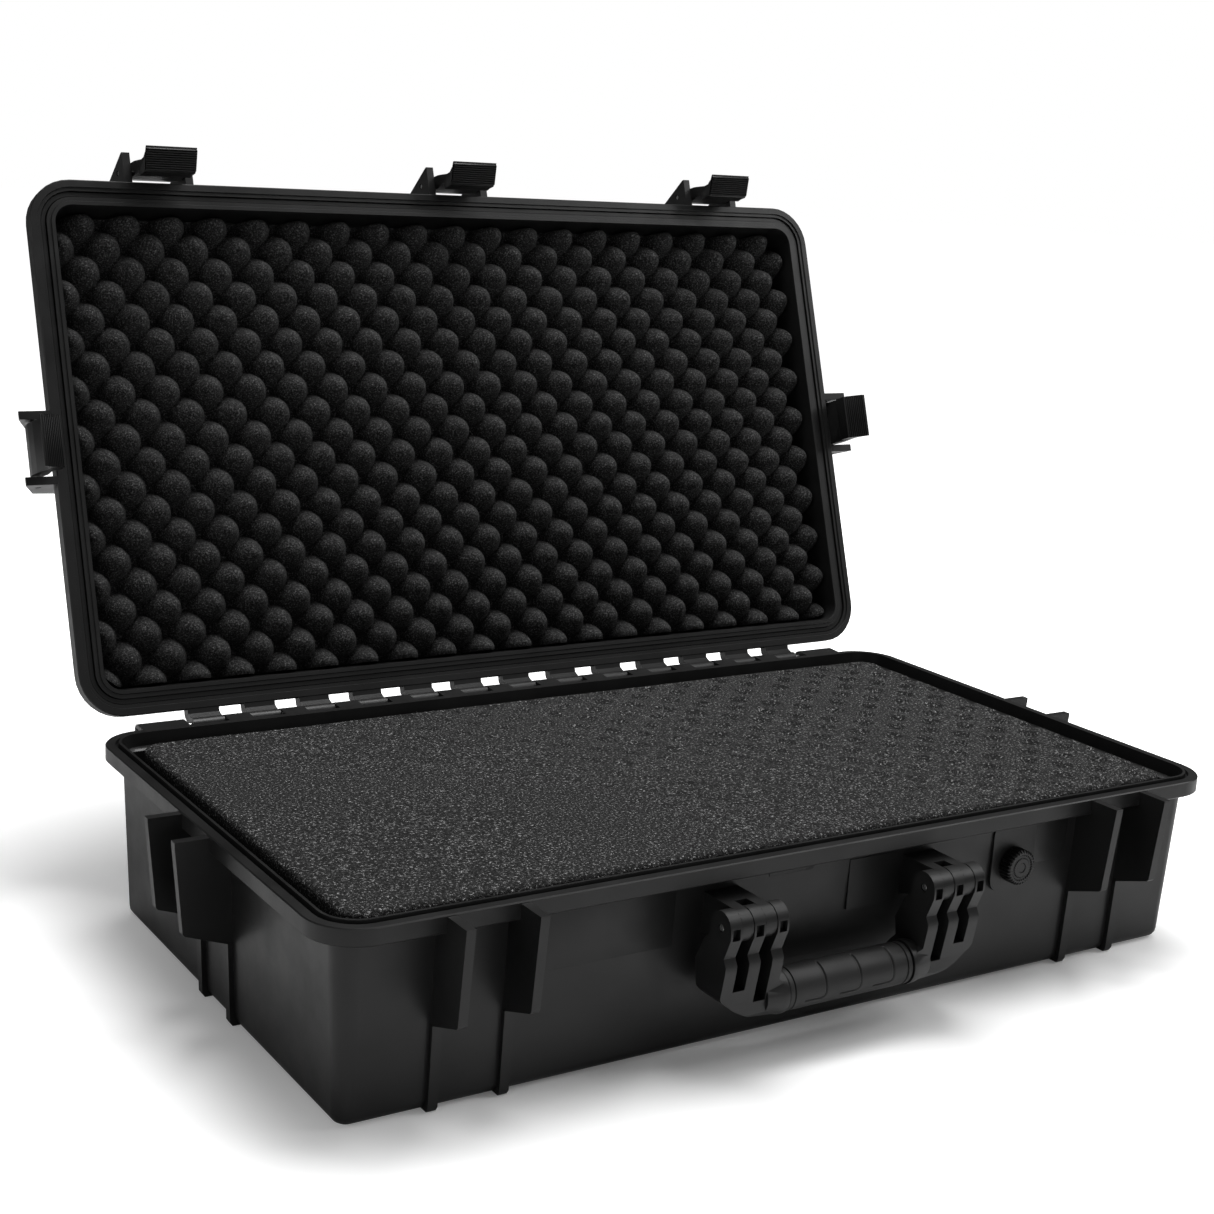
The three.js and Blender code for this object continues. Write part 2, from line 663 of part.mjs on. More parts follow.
// ---- assembly ----
const equipmentCase = new THREE.Group()
equipmentCase.add(
  named('base_shell', toGeometry(makeTub()), shellPlastic),
  named('base_foam', makeBaseFoam(), openFoam),
  named('base_foam_pad', makeFoamPad(), openFoam)
)

const hingePin = named('hinge_pin', pinAlongX(hingePinRadius, 2 * endKnuckleOuter - 3), pinSteel)
hingePin.position.set(0, hingeY, hingeZ)
equipmentCase.add(hingePin)

const valve = new THREE.Group()
valve.position.set(valveX, 0, valveHeight)
valve.add(
  named('valve_body', makeValveBody(), latchPlastic),
  named('valve_seal', makeValveSeal(), sealRubber),
  named('valve_nut', makeValveNut(), latchPlastic),
  named('valve_knob', makeValveKnob(), latchPlastic)
)
equipmentCase.add(valve)

const handle = new THREE.Group()
handle.position.set(0, pivotY, handlePivotHeight)
handle.add(
  named('handle_frame', toGeometry(makeHandleFrame()), latchPlastic),
  named('handle_grip', makeGrip(), gripRubber)
)
for (const [name, armSide] of [['handle_pin_left', -1], ['handle_pin_right', 1]]) {
  const pin = named(name, pinAlongX(handlePinRadius, armWidth - 1), pinSteel)
  pin.position.x = armSide * (handleHalfWidth - armWidth / 2)
  handle.add(pin)
}
equipmentCase.add(handle)

// everything on the lid hangs from this group, which turns about the hinge pin
const swing = new THREE.Group()
swing.position.set(0, hingeY, hingeZ)
swing.rotation.x = -deg(lidOpenAngle)
const lid = new THREE.Group()
lid.position.set(0, -hingeY, -hingeZ)
swing.add(lid)
equipmentCase.add(swing)

lid.add(
  named('lid_shell', toGeometry(makeLid()), shellPlastic),
  named('lid_seal', makeSeal(), sealRubber),
  named('lid_foam', makeLidFoam(), openFoam)
)

for (const { name, side, centre, width } of latchPlaces) {
  const mount = new THREE.Group()
  mount.position.set(side.x, side.y, 0)
  mount.rotation.z = deg(side.turn)
  const pivot = new THREE.Group()
  pivot.position.set(centre, -latchPinOut, rimHeight + latchPinUp)
  const lever = new THREE.Group()
  lever.rotation.x = -deg(latchRestAngle)
  lever.add(named(name, latchGeometry(width), latchPlastic))
  pivot.add(lever, named(name.replace('latch', 'latch_pin'),
    pinAlongX(latchPinRadius, 2 * ribPairHalf + finThickness - 1), pinSteel))
  mount.add(pivot)
  lid.add(mount)
}

export default equipmentCase
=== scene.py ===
import json
import math
import bpy
import bmesh
from mathutils import Matrix, Vector, noise


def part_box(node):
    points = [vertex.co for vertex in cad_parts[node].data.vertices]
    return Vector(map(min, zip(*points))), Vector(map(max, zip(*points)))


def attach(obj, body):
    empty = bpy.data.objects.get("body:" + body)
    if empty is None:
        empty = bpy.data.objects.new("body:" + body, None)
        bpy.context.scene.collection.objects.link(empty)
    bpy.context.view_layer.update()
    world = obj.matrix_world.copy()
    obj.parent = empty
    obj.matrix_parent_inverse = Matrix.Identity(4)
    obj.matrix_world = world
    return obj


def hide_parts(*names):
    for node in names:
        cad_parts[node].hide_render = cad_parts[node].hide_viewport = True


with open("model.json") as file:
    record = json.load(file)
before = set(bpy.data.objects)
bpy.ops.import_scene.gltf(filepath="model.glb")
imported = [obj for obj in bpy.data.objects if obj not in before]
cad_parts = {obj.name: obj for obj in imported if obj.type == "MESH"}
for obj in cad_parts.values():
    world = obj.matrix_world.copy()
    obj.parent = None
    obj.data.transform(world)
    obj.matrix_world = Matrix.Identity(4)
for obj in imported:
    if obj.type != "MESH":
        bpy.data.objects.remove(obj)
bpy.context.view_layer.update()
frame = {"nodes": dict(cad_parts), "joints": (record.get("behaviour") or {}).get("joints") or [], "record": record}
joints = {joint["name"]: joint for joint in frame["joints"]}

# the rim outline and heights of the shells, that the foam, the front panels and the latches are drawn from, in
# metres
case = dict(length=0.760, width=0.423, rimHeight=0.138, corner=0.035, flange=0.012, matingGap=0.0003)
lid = dict(depth=0.056, wall=0.0036)
hingePoint = Vector(joints["lid_hinge"]["pos_m"])
openAngle = math.radians(max(joints["lid_hinge"]["range_deg"]))
lidOpen = (Matrix.Translation(hingePoint) @ Matrix.Rotation(-openAngle, 4, "X")
           @ Matrix.Translation(-hingePoint))


# ---- small helpers ----
def deselectAll():
    if bpy.context.object and bpy.context.object.mode != "OBJECT":
        bpy.ops.object.mode_set(mode="OBJECT")
    bpy.ops.object.select_all(action="DESELECT")


def makeActive(*pieces):
    deselectAll()
    for piece in pieces:
        piece.select_set(True)
    bpy.context.view_layer.objects.active = pieces[0]


def applyPlace(piece):
    makeActive(piece)
    bpy.ops.object.transform_apply(location=True, rotation=True, scale=True)


def applyModifiers(piece):
    makeActive(piece)
    for modifier in list(piece.modifiers):
        bpy.ops.object.modifier_apply(modifier=modifier.name)


def joinPieces(pieces, name):
    makeActive(*pieces)
    bpy.ops.object.join()
    joined = bpy.context.object
    joined.name = joined.data.name = name
    return joined


def copyOf(piece, name):
    twin = piece.copy()
    twin.data = piece.data.copy()
    twin.name = twin.data.name = name
    bpy.context.collection.objects.link(twin)
    return twin


def smoothBy(piece, degrees=32):
    makeActive(piece)
    bpy.ops.object.shade_smooth_by_angle(angle=math.radians(degrees))


def selectFaces(piece, wanted):
    # leaves edit mode on with only the wanted faces selected
    makeActive(piece)
    bpy.ops.object.mode_set(mode="EDIT")
    bpy.ops.mesh.select_mode(type="FACE")
    bpy.ops.mesh.select_all(action="DESELECT")
    mesh = bmesh.from_edit_mesh(piece.data)
    for face in mesh.faces:
        face.select = wanted(face)
    bmesh.update_edit_mesh(piece.data)


def selectEdges(piece, wanted):
    makeActive(piece)
    bpy.ops.object.mode_set(mode="EDIT")
    bpy.ops.mesh.select_mode(type="EDGE")
    bpy.ops.mesh.select_all(action="DESELECT")
    mesh = bmesh.from_edit_mesh(piece.data)
    for edge in mesh.edges:
        edge.select = wanted(edge)
    bmesh.update_edit_mesh(piece.data)


def bevelEdges(piece, width, cuts=2, degrees=35):
    bevel = piece.modifiers.new("edges", "BEVEL")
    bevel.width = width
    bevel.segments = cuts
    bevel.limit_method = "ANGLE"
    bevel.angle_limit = math.radians(degrees)
    bevel.harden_normals = False
    applyModifiers(piece)


def fixNormals(piece, merge=0.00001):
    makeActive(piece)
    bpy.ops.object.mode_set(mode="EDIT")
    bpy.ops.mesh.select_all(action="SELECT")
    bpy.ops.mesh.remove_doubles(threshold=merge)
    bpy.ops.mesh.normals_make_consistent(inside=False)
    bpy.ops.object.mode_set(mode="OBJECT")


def finishPiece(piece, body, slot, material, *nodes, smooth=32):
    applyPlace(piece)
    smoothBy(piece, smooth)
    piece.data.materials.clear()
    piece.data.materials.append(material)
    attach(piece, body)
    if nodes:
        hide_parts(*nodes)
    return piece


def arcPoints(centre, radius, start, end, cuts):
    points = []
    for i in range(cuts + 1):
        angle = math.radians(start + (end - start) * i / cuts)
        points.append((centre[0] + radius * math.cos(angle), centre[1] + radius * math.sin(angle)))
    return points


def traceOutline(name, outline, low, high):
    # draws an outline in the Y-Z plane point by point, fills it and pulls it along X from low to high
    deselectAll()
    bpy.ops.mesh.primitive_plane_add(size=0.001, location=(0, 0, 0))
    piece = bpy.context.object
    piece.name = piece.data.name = name
    bpy.ops.object.mode_set(mode="EDIT")
    bpy.ops.mesh.select_mode(type="VERT")
    bpy.ops.mesh.select_all(action="SELECT")
    bpy.ops.mesh.merge(type="CENTER")
    bpy.ops.transform.translate(value=(low, outline[0][0], outline[0][1]))
    for (y0, z0), (y1, z1) in zip(outline, outline[1:]):
        bpy.ops.mesh.extrude_vertices_move(TRANSFORM_OT_translate={"value": (0, y1 - y0, z1 - z0)})
    bpy.ops.mesh.select_all(action="SELECT")
    bpy.ops.mesh.edge_face_add()
    bpy.ops.mesh.extrude_region_move(TRANSFORM_OT_translate={"value": (high - low, 0, 0)})
    bpy.ops.mesh.select_all(action="SELECT")
    bpy.ops.mesh.normals_make_consistent(inside=False)
    bpy.ops.object.mode_set(mode="OBJECT")
    return piece


# ---- materials ----
def newMaterial(name):
    material = bpy.data.materials.new(name)
    material.use_nodes = True
    nodes = material.node_tree.nodes
    shader = nodes["Principled BSDF"]
    place = nodes.new("ShaderNodeTexCoord")
    return material, material.node_tree, shader, place.outputs["Object"]


def noiseNode(tree, place, scale, detail=2.0, rough=0.5):
    node = tree.nodes.new("ShaderNodeTexNoise")
    node.inputs["Scale"].default_value = scale
    node.inputs["Detail"].default_value = detail
    node.inputs["Roughness"].default_value = rough
    tree.links.new(place, node.inputs["Vector"])
    return node


def rampNode(tree, source, stops):
    node = tree.nodes.new("ShaderNodeValToRGB")
    ramp = node.color_ramp
    while len(ramp.elements) < len(stops):
        ramp.elements.new(0.5)
    for element, (position, shade) in zip(ramp.elements, stops):
        element.position = position
        element.color = (shade,) * 3 + (1,)
    tree.links.new(source, node.inputs["Fac"])
    return node


def bumpNode(tree, height, strength, distance, before=None):
    node = tree.nodes.new("ShaderNodeBump")
    node.inputs["Strength"].default_value = strength
    node.inputs["Distance"].default_value = distance
    tree.links.new(height, node.inputs["Height"])
    if before:
        tree.links.new(before.outputs["Normal"], node.inputs["Normal"])
    return node


mouldedLook = dict(dark=0.0055, light=0.0095, roughLow=0.34, roughHigh=0.47, grain=1500, grainDepth=0.00006)


def mouldedPlastic(name, tint=1.0, grainStrength=0.35, rough=0.0):
    # satin moulded plastic: fine spark-eroded grain, faint clouding of colour and gloss
    look = mouldedLook
    material, tree, shader, place = newMaterial(name)
    cloud = noiseNode(tree, place, 9, 4, 0.55)
    shade = rampNode(tree, cloud.outputs["Fac"], [(0.3, look["dark"] * tint), (0.7, look["light"] * tint)])
    tree.links.new(shade.outputs["Color"], shader.inputs["Base Color"])
    smear = noiseNode(tree, place, 30, 5, 0.6)
    gloss = rampNode(tree, smear.outputs["Fac"], [(0.3, look["roughLow"] + rough),
                                                  (0.72, look["roughHigh"] + rough)])
    tree.links.new(gloss.outputs["Color"], shader.inputs["Roughness"])
    grain = noiseNode(tree, place, look["grain"], 2, 0.6)
    ripple = noiseNode(tree, place, 60, 2, 0.5)
    soft = bumpNode(tree, ripple.outputs["Fac"], 0.06, 0.001)
    bump = bumpNode(tree, grain.outputs["Fac"], grainStrength, look["grainDepth"], soft)
    tree.links.new(bump.outputs["Normal"], shader.inputs["Normal"])
    shader.inputs["Specular IOR Level"].default_value = 0.32
    return material


def openFoam(name, dark, light, cell=900, strength=0.9, glintGain=8):
    # open-cell foam: pin-prick cells on a deep matt body; the colour carries painted glints, bright specks where
    # the cells would catch the light
    material, tree, shader, place = newMaterial(name)
    cells = tree.nodes.new("ShaderNodeTexVoronoi")
    cells.inputs["Scale"].default_value = cell
    tree.links.new(place, cells.inputs["Vector"])
    grain = noiseNode(tree, place, cell * 0.62, 2, 0.8)
    # painted glints: the last two stops lift the foam's tone to bright specks well above its light tone
    toneAndGlints = rampNode(tree, grain.outputs["Fac"], [(0.38, dark * 0.5), (0.50, light * 0.5),
                                                 (0.60, light * 1.8), (0.70, light * glintGain)])
    tree.links.new(toneAndGlints.outputs["Color"], shader.inputs["Base Color"])
    coarse = noiseNode(tree, place, cell * 0.3, 4, 0.7)
    soft = bumpNode(tree, coarse.outputs["Fac"], strength * 0.5, 0.0009)
    bump = bumpNode(tree, cells.outputs["Distance"], strength, 0.0007, soft)
    tree.links.new(bump.outputs["Normal"], shader.inputs["Normal"])
    shader.inputs["Roughness"].default_value = 0.92
    shader.inputs["Specular IOR Level"].default_value = 0.25
    return material


def drawnSteel(name):
    material, tree, shader, place = newMaterial(name)
    scratch = tree.nodes.new("ShaderNodeMapping")
    scratch.inputs["Scale"].default_value = (4, 900, 900)
    tree.links.new(place, scratch.inputs["Vector"])
    lines = noiseNode(tree, scratch.outputs["Vector"], 2, 3, 0.6)
    shade = rampNode(tree, lines.outputs["Fac"], [(0.3, 0.42), (0.7, 0.62)])
    tree.links.new(shade.outputs["Color"], shader.inputs["Base Color"])
    gloss = rampNode(tree, lines.outputs["Fac"], [(0.3, 0.22), (0.7, 0.38)])
    tree.links.new(gloss.outputs["Color"], shader.inputs["Roughness"])
    bump = bumpNode(tree, lines.outputs["Fac"], 0.15, 0.0002)
    tree.links.new(bump.outputs["Normal"], shader.inputs["Normal"])
    shader.inputs["Metallic"].default_value = 1.0
    return material


shellPlastic = mouldedPlastic("shellPlastic")
latchPlastic = mouldedPlastic("latchPlastic", tint=1.15, rough=-0.02)
handlePlastic = mouldedPlastic("handlePlastic", tint=1.2)
valvePlastic = mouldedPlastic("valvePlastic", tint=0.9)
gripRubber = mouldedPlastic("gripRubber", tint=1.5, grainStrength=0.5, rough=0.12)
sealRubber = mouldedPlastic("sealRubber", tint=0.6, grainStrength=0.1)
# the last argument of each foam sets how bright its painted glints are
baseFoamLook = openFoam("baseFoamLook", 0.003, 0.024, glintGain=14)
lidFoamLook = openFoam("lidFoamLook", 0.006, 0.028, cell=1150, glintGain=5)
pinSteel = drawnSteel("pinSteel")
slotLooks = {"shell_plastic": shellPlastic, "latch_plastic": latchPlastic, "handle_plastic": handlePlastic,
             "valve_plastic": valvePlastic, "grip_rubber": gripRubber, "seal_rubber": sealRubber,
             "flat_foam": baseFoamLook, "egg_crate_foam": lidFoamLook, "pin_steel": pinSteel}

for entry in frame["record"]["subparts"]:
    node = frame["nodes"][entry["node"]]
    node.data.materials.clear()
    node.data.materials.append(slotLooks[entry["material_slot"]])
print("materials on the CAD nodes")


# ---- foam ----
eggCrate = dict(pitchX=0.0372, pitchY=0.0388, depth=0.024, finger=0.0160, shift=-0.0120,
                step=0.0017, corner=0.014, edge=0.0238,
                faceRecess=0.0062)
foamBlock = dict(step=0.0019, dent=0.0042, pitch=0.0385, edge=0.0266, corner=0.016, roundOver=0.004)


def roundedDistance(x, y, halfX, halfY, radius):
    # signed distance to a rounded rectangle, negative inside
    dx, dy = abs(x) - (halfX - radius), abs(y) - (halfY - radius)
    outside = math.hypot(max(dx, 0), max(dy, 0))
    return outside + min(max(dx, dy), 0) - radius


def foamSheet(name, halfX, halfY, radius, step, top):
    # a grid pulled into a rounded rectangle
    deselectAll()
    bpy.ops.mesh.primitive_grid_add(x_subdivisions=round(2 * halfX / step),
                                    y_subdivisions=round(2 * halfY / step), size=2, location=(0, 0, top))
    sheet = bpy.context.object
    sheet.name = sheet.data.name = name
    sheet.scale = (halfX, halfY, 1)
    applyPlace(sheet)
    for vertex in sheet.data.vertices:
        x, y = vertex.co.x, vertex.co.y
        cx, cy = halfX - radius, halfY - radius
        if abs(x) > cx and abs(y) > cy:
            # squares the grid's corner onto the round one
            u, v = (abs(x) - cx) / radius, (abs(y) - cy) / radius
            reach = max(u, v) / max(math.hypot(u, v), 1e-9)
            vertex.co.x = math.copysign(cx + radius * u * reach, x)
            vertex.co.y = math.copysign(cy + radius * v * reach, y)
    return sheet


def closeFoam(sheet, skirt, rings):
    # pulls the sheet's border down by skirt (inward, down), then to flat rings (inward, level),
    # and closes the back; the last ring has to be flat, or the back folds out through the shell
    makeActive(sheet)
    bpy.ops.object.mode_set(mode="EDIT")
    bpy.ops.mesh.select_mode(type="EDGE")
    bpy.ops.mesh.select_all(action="DESELECT")
    mesh = bmesh.from_edit_mesh(sheet.data)
    for edge in mesh.edges:
        edge.select = edge.is_boundary
    bmesh.update_edit_mesh(sheet.data)
    spanX, spanY = sheet.dimensions.x, sheet.dimensions.y
    bpy.ops.mesh.extrude_region_move(TRANSFORM_OT_translate={"value": (0, 0, skirt[1])})
    bpy.ops.transform.resize(value=(1 - 2 * skirt[0] / spanX, 1 - 2 * skirt[0] / spanY, 1))
    for inward, level in rings:
        bpy.ops.mesh.extrude_region_move()
        bpy.ops.transform.resize(value=(1 - 2 * inward / spanX, 1 - 2 * inward / spanY, 0),
                                 center_override=(0, 0, level))
    bpy.ops.mesh.edge_face_add()
    bpy.ops.mesh.select_all(action="SELECT")
    bpy.ops.mesh.normals_make_consistent(inside=False)
    bpy.ops.object.mode_set(mode="OBJECT")


def makeLidFoam():
    look = eggCrate
    base = case["rimHeight"] + case["matingGap"]
    face = base + look["faceRecess"]
    back = base + lid["depth"] - lid["wall"] - 0.001
    halfX = case["length"] / 2 - look["edge"]
    halfY = case["width"] / 2 - look["edge"]
    radius = look["corner"]
    # drawn face up, turned over afterwards
    foam = foamSheet("lidFoam", halfX, halfY, radius, look["step"], 0)
    pitchX, pitchY = look["pitchX"], look["pitchY"]
    for vertex in foam.data.vertices:
        x, y = vertex.co.x, vertex.co.y
        # staggered steep-sided fingers with rounded tips and a narrow valley round each
        rise = 0
        along = y - look["shift"]
        for row in range(math.floor(2 * along / pitchY) - 1, math.floor(2 * along / pitchY) + 3):
            shift = pitchX / 2 if row % 2 else 0
            column = round((x - shift) / pitchX)
            away = math.hypot(x - column * pitchX - shift, along - row * pitchY / 2) / look["finger"]
            rise = max(rise, max(0, 1 - away ** 2) ** 0.92)
        crown = 2 * rise - 1
        wobble = noise.noise(Vector((x * 45, y * 45, 3.1))) * 0.0014
        edge = max(0, 1 + roundedDistance(x, y, halfX, halfY, radius) / 0.005)
        vertex.co.z = (crown - 1) * look["depth"] / 2 + wobble - 0.0012 - 0.002 * edge ** 2
    closeFoam(foam, (0.0004, -0.003), [(0.0022, face - back + 0.002), (0.003, face - back)])
    foam.rotation_euler = (math.pi, 0, 0)
    foam.location = (0, 0, face)
    applyPlace(foam)
    foam.matrix_world = lidOpen
    finishPiece(foam, "lid", "egg_crate_foam", lidFoamLook, "lid_foam", smooth=60)
    return foam


def makeBaseFoam():
    look = foamBlock
    low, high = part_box("base_foam")
    halfX = case["length"] / 2 - look["edge"]
    halfY = case["width"] / 2 - look["edge"]
    top, radius = high[2], look["corner"]
    foam = foamSheet("baseFoam", halfX, halfY, radius, look["step"], top)
    pitch = look["pitch"]
    for vertex in foam.data.vertices:
        x, y = vertex.co.x, vertex.co.y
        # the lid foam's finger tips press a staggered field of thumbnail dents into the top
        best = 1
        for row in (math.floor(2 * y / pitch), math.floor(2 * y / pitch) + 1):
            shift = pitch / 2 if row % 2 else 0
            column = round((x - shift) / pitch)
            dx, dy = x - column * pitch - shift, y - row * pitch / 2
            best = min(best, math.hypot(dx, dy))
        # deepest at the right and the back, all but gone at the front left
        deep = min(1, max(0.06, 0.42 + 0.75 * (x / halfX) + 0.35 * (y / halfY)))
        press = max(0, 1 - (best / 0.0085) ** 2)
        dent = press ** 0.6 * deep
        edge = max(0, 1 + roundedDistance(x, y, halfX, halfY, radius) / look["roundOver"])
        sway = noise.noise(Vector((x * 9, y * 9, 0.7))) * 0.0007
        vertex.co.z = top - 0.0007 - look["dent"] * dent + sway - 0.0026 * edge ** 2
    closeFoam(foam, (0.0003, -0.006), [(-0.001, low[2] + 0.002), (0.0015, low[2] + 0.0003)])
    finishPiece(foam, "base", "flat_foam", baseFoamLook, "base_foam", smooth=60)
    return foam


makeLidFoam()
makeBaseFoam()
print("foam")


# ---- moulded pieces refined from the frame's own solids ----
def refined(node, name, body, slot, material, edgeWidth, cuts=2, smooth=40):
    # a merged, cleaned and edge-rounded copy that takes the node's place
    piece = copyOf(frame["nodes"][node], name)
    makeActive(piece)
    bpy.ops.object.mode_set(mode="EDIT")
    bpy.ops.mesh.select_all(action="SELECT")
    bpy.ops.mesh.remove_doubles(threshold=0.00002)
    bpy.ops.mesh.dissolve_limited(angle_limit=math.radians(1.0))
    bpy.ops.object.mode_set(mode="OBJECT")
    if edgeWidth:
        bevel = piece.modifiers.new("edges", "BEVEL")
        bevel.width = edgeWidth
        bevel.segments = cuts
        bevel.limit_method = "ANGLE"
        bevel.angle_limit = math.radians(38)
        bevel.use_clamp_overlap = True
        applyModifiers(piece)
    finishPiece(piece, body, slot, material, node, smooth=smooth)
    # broad faces keep their flat shading, the roundings carry the turn
    flat = piece.modifiers.new("flat", "WEIGHTED_NORMAL")
    flat.keep_sharp = True
    flat.weight = 80
    applyModifiers(piece)
    return piece


edges = dict(shell=0.0010, handle=0.0008)
refined("base_shell", "tub", "base", "shell_plastic", shellPlastic, edges["shell"])
refined("lid_shell", "lidShell", "lid", "shell_plastic", shellPlastic, edges["shell"])
refined("handle_frame", "handleFrame", "handle", "handle_plastic", handlePlastic, edges["handle"], cuts=3)
print("shells and handle")


# ---- grip: a rubber sleeve with three J-shaped finger grooves and a ring at each end ----
grip = dict(y=-0.224, z=0.0473, radius=0.0149, bore=0.00835, half=0.054, around=170, along=240,
            grooves=(-0.023, 0.007, 0.036), top=math.radians(85), foot=math.radians(-22),
            bend=0.004, leg=0.013, width=0.0010, deep=0.0011,
            ringFrom=0.0042, ringTo=0.0054, ringDeep=0.0009, endLong=0.0012, endRound=0.0009, swell=0.00035)


def makeGrip():
    look = grip
    deselectAll()
    bpy.ops.mesh.primitive_grid_add(x_subdivisions=look["along"], y_subdivisions=look["around"], size=2)
    sleeve = bpy.context.object
    sleeve.name = sleeve.data.name = "gripSleeve"
    foot = look["foot"] * look["radius"]
    for vertex in sleeve.data.vertices:
        x, angle = vertex.co.x * look["half"], vertex.co.y * math.pi
        arc = angle * look["radius"]
        near = 1
        for start in look["grooves"]:
            # down the front, round the bend, then along the bottom towards the left
            past = min(0, arc - foot - look["bend"]) + max(0, arc - look["top"] * look["radius"])
            down = math.hypot(x - start, past)
            centreX, centreArc = start - look["bend"], foot + look["bend"]
            near = min(near, down)
            if x > centreX and arc < centreArc:
                near = min(near, abs(math.hypot(x - centreX, arc - centreArc) - look["bend"]))
            beyond = max(0, x - centreX) + max(0, start - look["bend"] - look["leg"] - x)
            near = min(near, math.hypot(beyond, arc - foot))
        cut = look["deep"] * max(0, 1 - (near / look["width"]) ** 2)
        end = look["half"] - abs(x)
        ring = look["ringDeep"] if look["ringFrom"] < end < look["ringTo"] else 0
        nearEnd = max(0, 1 - end / look["endLong"])
        swell = look["swell"] * math.cos(x / look["half"] * math.pi / 2)
        radius = look["radius"] - max(cut, ring) - look["endRound"] * nearEnd ** 2 + swell
        radius = min(radius, look["radius"] + 0.0001)
        vertex.co = (x, look["y"] - radius * math.cos(angle), look["z"] + radius * math.sin(angle))
    fixNormals(sleeve, 0.00003)
    selectEdges(sleeve, lambda edge: edge.is_boundary)
    bpy.ops.mesh.extrude_region_move()
    shrink = look["bore"] / (look["radius"] - look["endRound"])
    bpy.ops.transform.resize(value=(1, shrink, shrink), center_override=(0, look["y"], look["z"]))
    bpy.ops.mesh.bridge_edge_loops()
    bpy.ops.object.mode_set(mode="OBJECT")
    fixNormals(sleeve)
    return finishPiece(sleeve, "handle", "grip_rubber", gripRubber, "handle_grip", smooth=40)


makeGrip()


# ---- purge-valve knob: knurled side, ringed face ----
knob = dict(ribs=30, radius=0.0135, ribDepth=0.0013, length=0.0095, shank=0.0059, faceStep=0.0012)


def makeKnob():
    look = knob
    low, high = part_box("valve_knob")
    centreX, centreZ = (low[0] + high[0]) / 2, (low[2] + high[2]) / 2
    front, back = low[1], low[1] + look["length"]
    deselectAll()
    bpy.ops.mesh.primitive_cylinder_add(vertices=look["ribs"] * 4, radius=look["radius"],
                                        depth=look["length"] - look["faceStep"],
                                        location=(centreX, (front + look["faceStep"] + back) / 2, centreZ),
                                        rotation=(math.pi / 2, 0, 0))
    piece = bpy.context.object
    piece.name = piece.data.name = "valveKnob"
    applyPlace(piece)
    for vertex in piece.data.vertices:
        angle = math.atan2(vertex.co.z - centreZ, vertex.co.x - centreX)
        step = round(angle / (math.tau / (look["ribs"] * 4))) % 4
        if step in (1, 2):
            reach = 1 - look["ribDepth"] / look["radius"]
            vertex.co.x = centreX + (vertex.co.x - centreX) * reach
            vertex.co.z = centreZ + (vertex.co.z - centreZ) * reach
    # rings on the face: in by a step, forward or back by a step
    selectFaces(piece, lambda face: face.normal.y < -0.9)
    rings = ((0.90, -look["faceStep"]), (0.86, 0), (0.955, 0.0007), (0.80, 0), (0.93, -0.0006), (0.55, 0),
             (0.9, 0.0005))
    for size, move in rings:
        bpy.ops.mesh.extrude_region_move(TRANSFORM_OT_translate={"value": (0, move, 0)})
        bpy.ops.transform.resize(value=(size, 1, size), center_override=(centreX, 0, centreZ))
    bpy.ops.object.mode_set(mode="OBJECT")
    selectFaces(piece, lambda face: face.normal.y > 0.9 and face.calc_center_median().y > back - 0.0002)
    bpy.ops.mesh.extrude_region_move()
    shrink = look["shank"] / look["radius"]
    bpy.ops.transform.resize(value=(shrink, 1, shrink), center_override=(centreX, 0, centreZ))
    bpy.ops.mesh.extrude_region_move(TRANSFORM_OT_translate={"value": (0, high[1] - back, 0)})
    bpy.ops.object.mode_set(mode="OBJECT")
    fixNormals(piece)
    return finishPiece(piece, "valve_knob", "valve_plastic", valvePlastic, "valve_knob", smooth=35)


makeKnob()


# ---- faint raised panels on the front wall, laid to its draft ----
wall = dict(inset=0.0142, lean=math.atan(5 / 126), proud=0.00035, plate=0.0016)
frontPanels = [
    # left, right, foot, head
    (0.190, 0.235, 0.088, 0.122),
    (-0.047, -0.009, 0.1170, 0.1255),
    (-0.224, -0.123, 0.0800, 0.1255),
]


def makePanels():
    pieces = []
    for left, right, foot, head in frontPanels:
        middle = (foot + head) / 2
        below = case["rimHeight"] - case["flange"] - middle
        y = -case["width"] / 2 + wall["inset"] + below * math.tan(wall["lean"])
        deselectAll()
        place = ((left + right) / 2, y + wall["plate"] / 2 - wall["proud"], middle)
        bpy.ops.mesh.primitive_cube_add(size=1, location=place,
                                        rotation=(wall["lean"], 0, 0))
        plate = bpy.context.object
        plate.scale = (right - left, wall["plate"], head - foot)
        applyPlace(plate)
        bevelEdges(plate, 0.0003, 2)
        pieces.append(plate)
    panels = joinPieces(pieces, "frontPanels")
    return finishPiece(panels, "base", "shell_plastic", shellPlastic)


makePanels()
print("grip, knob and panels")


# ---- latches: one lever each, its plate ribbed across the width ----
latch = dict(pinOut=0.011, pinUp=0.015, boss=0.0052, hookTop=0.0126, bite=0.0024, ribs=10,
             ribHeight=0.0013, rest=math.radians(6))
finGap = 0.0445
latchPlaces = [
    # name, side turn, along the side, out to the flange face, gap beside the fins
    ("latch_front_left", 0, -0.272, case["width"] / 2, 0.00125),
    ("latch_front_centre", 0, 0.0, case["width"] / 2, 0.00125),
    ("latch_front_right", 0, 0.272, case["width"] / 2, 0.00125),
    ("latch_left", -90, 0.0, case["length"] / 2, 0.00225),
    ("latch_right", 90, 0.0, case["length"] / 2, 0.00225),
]


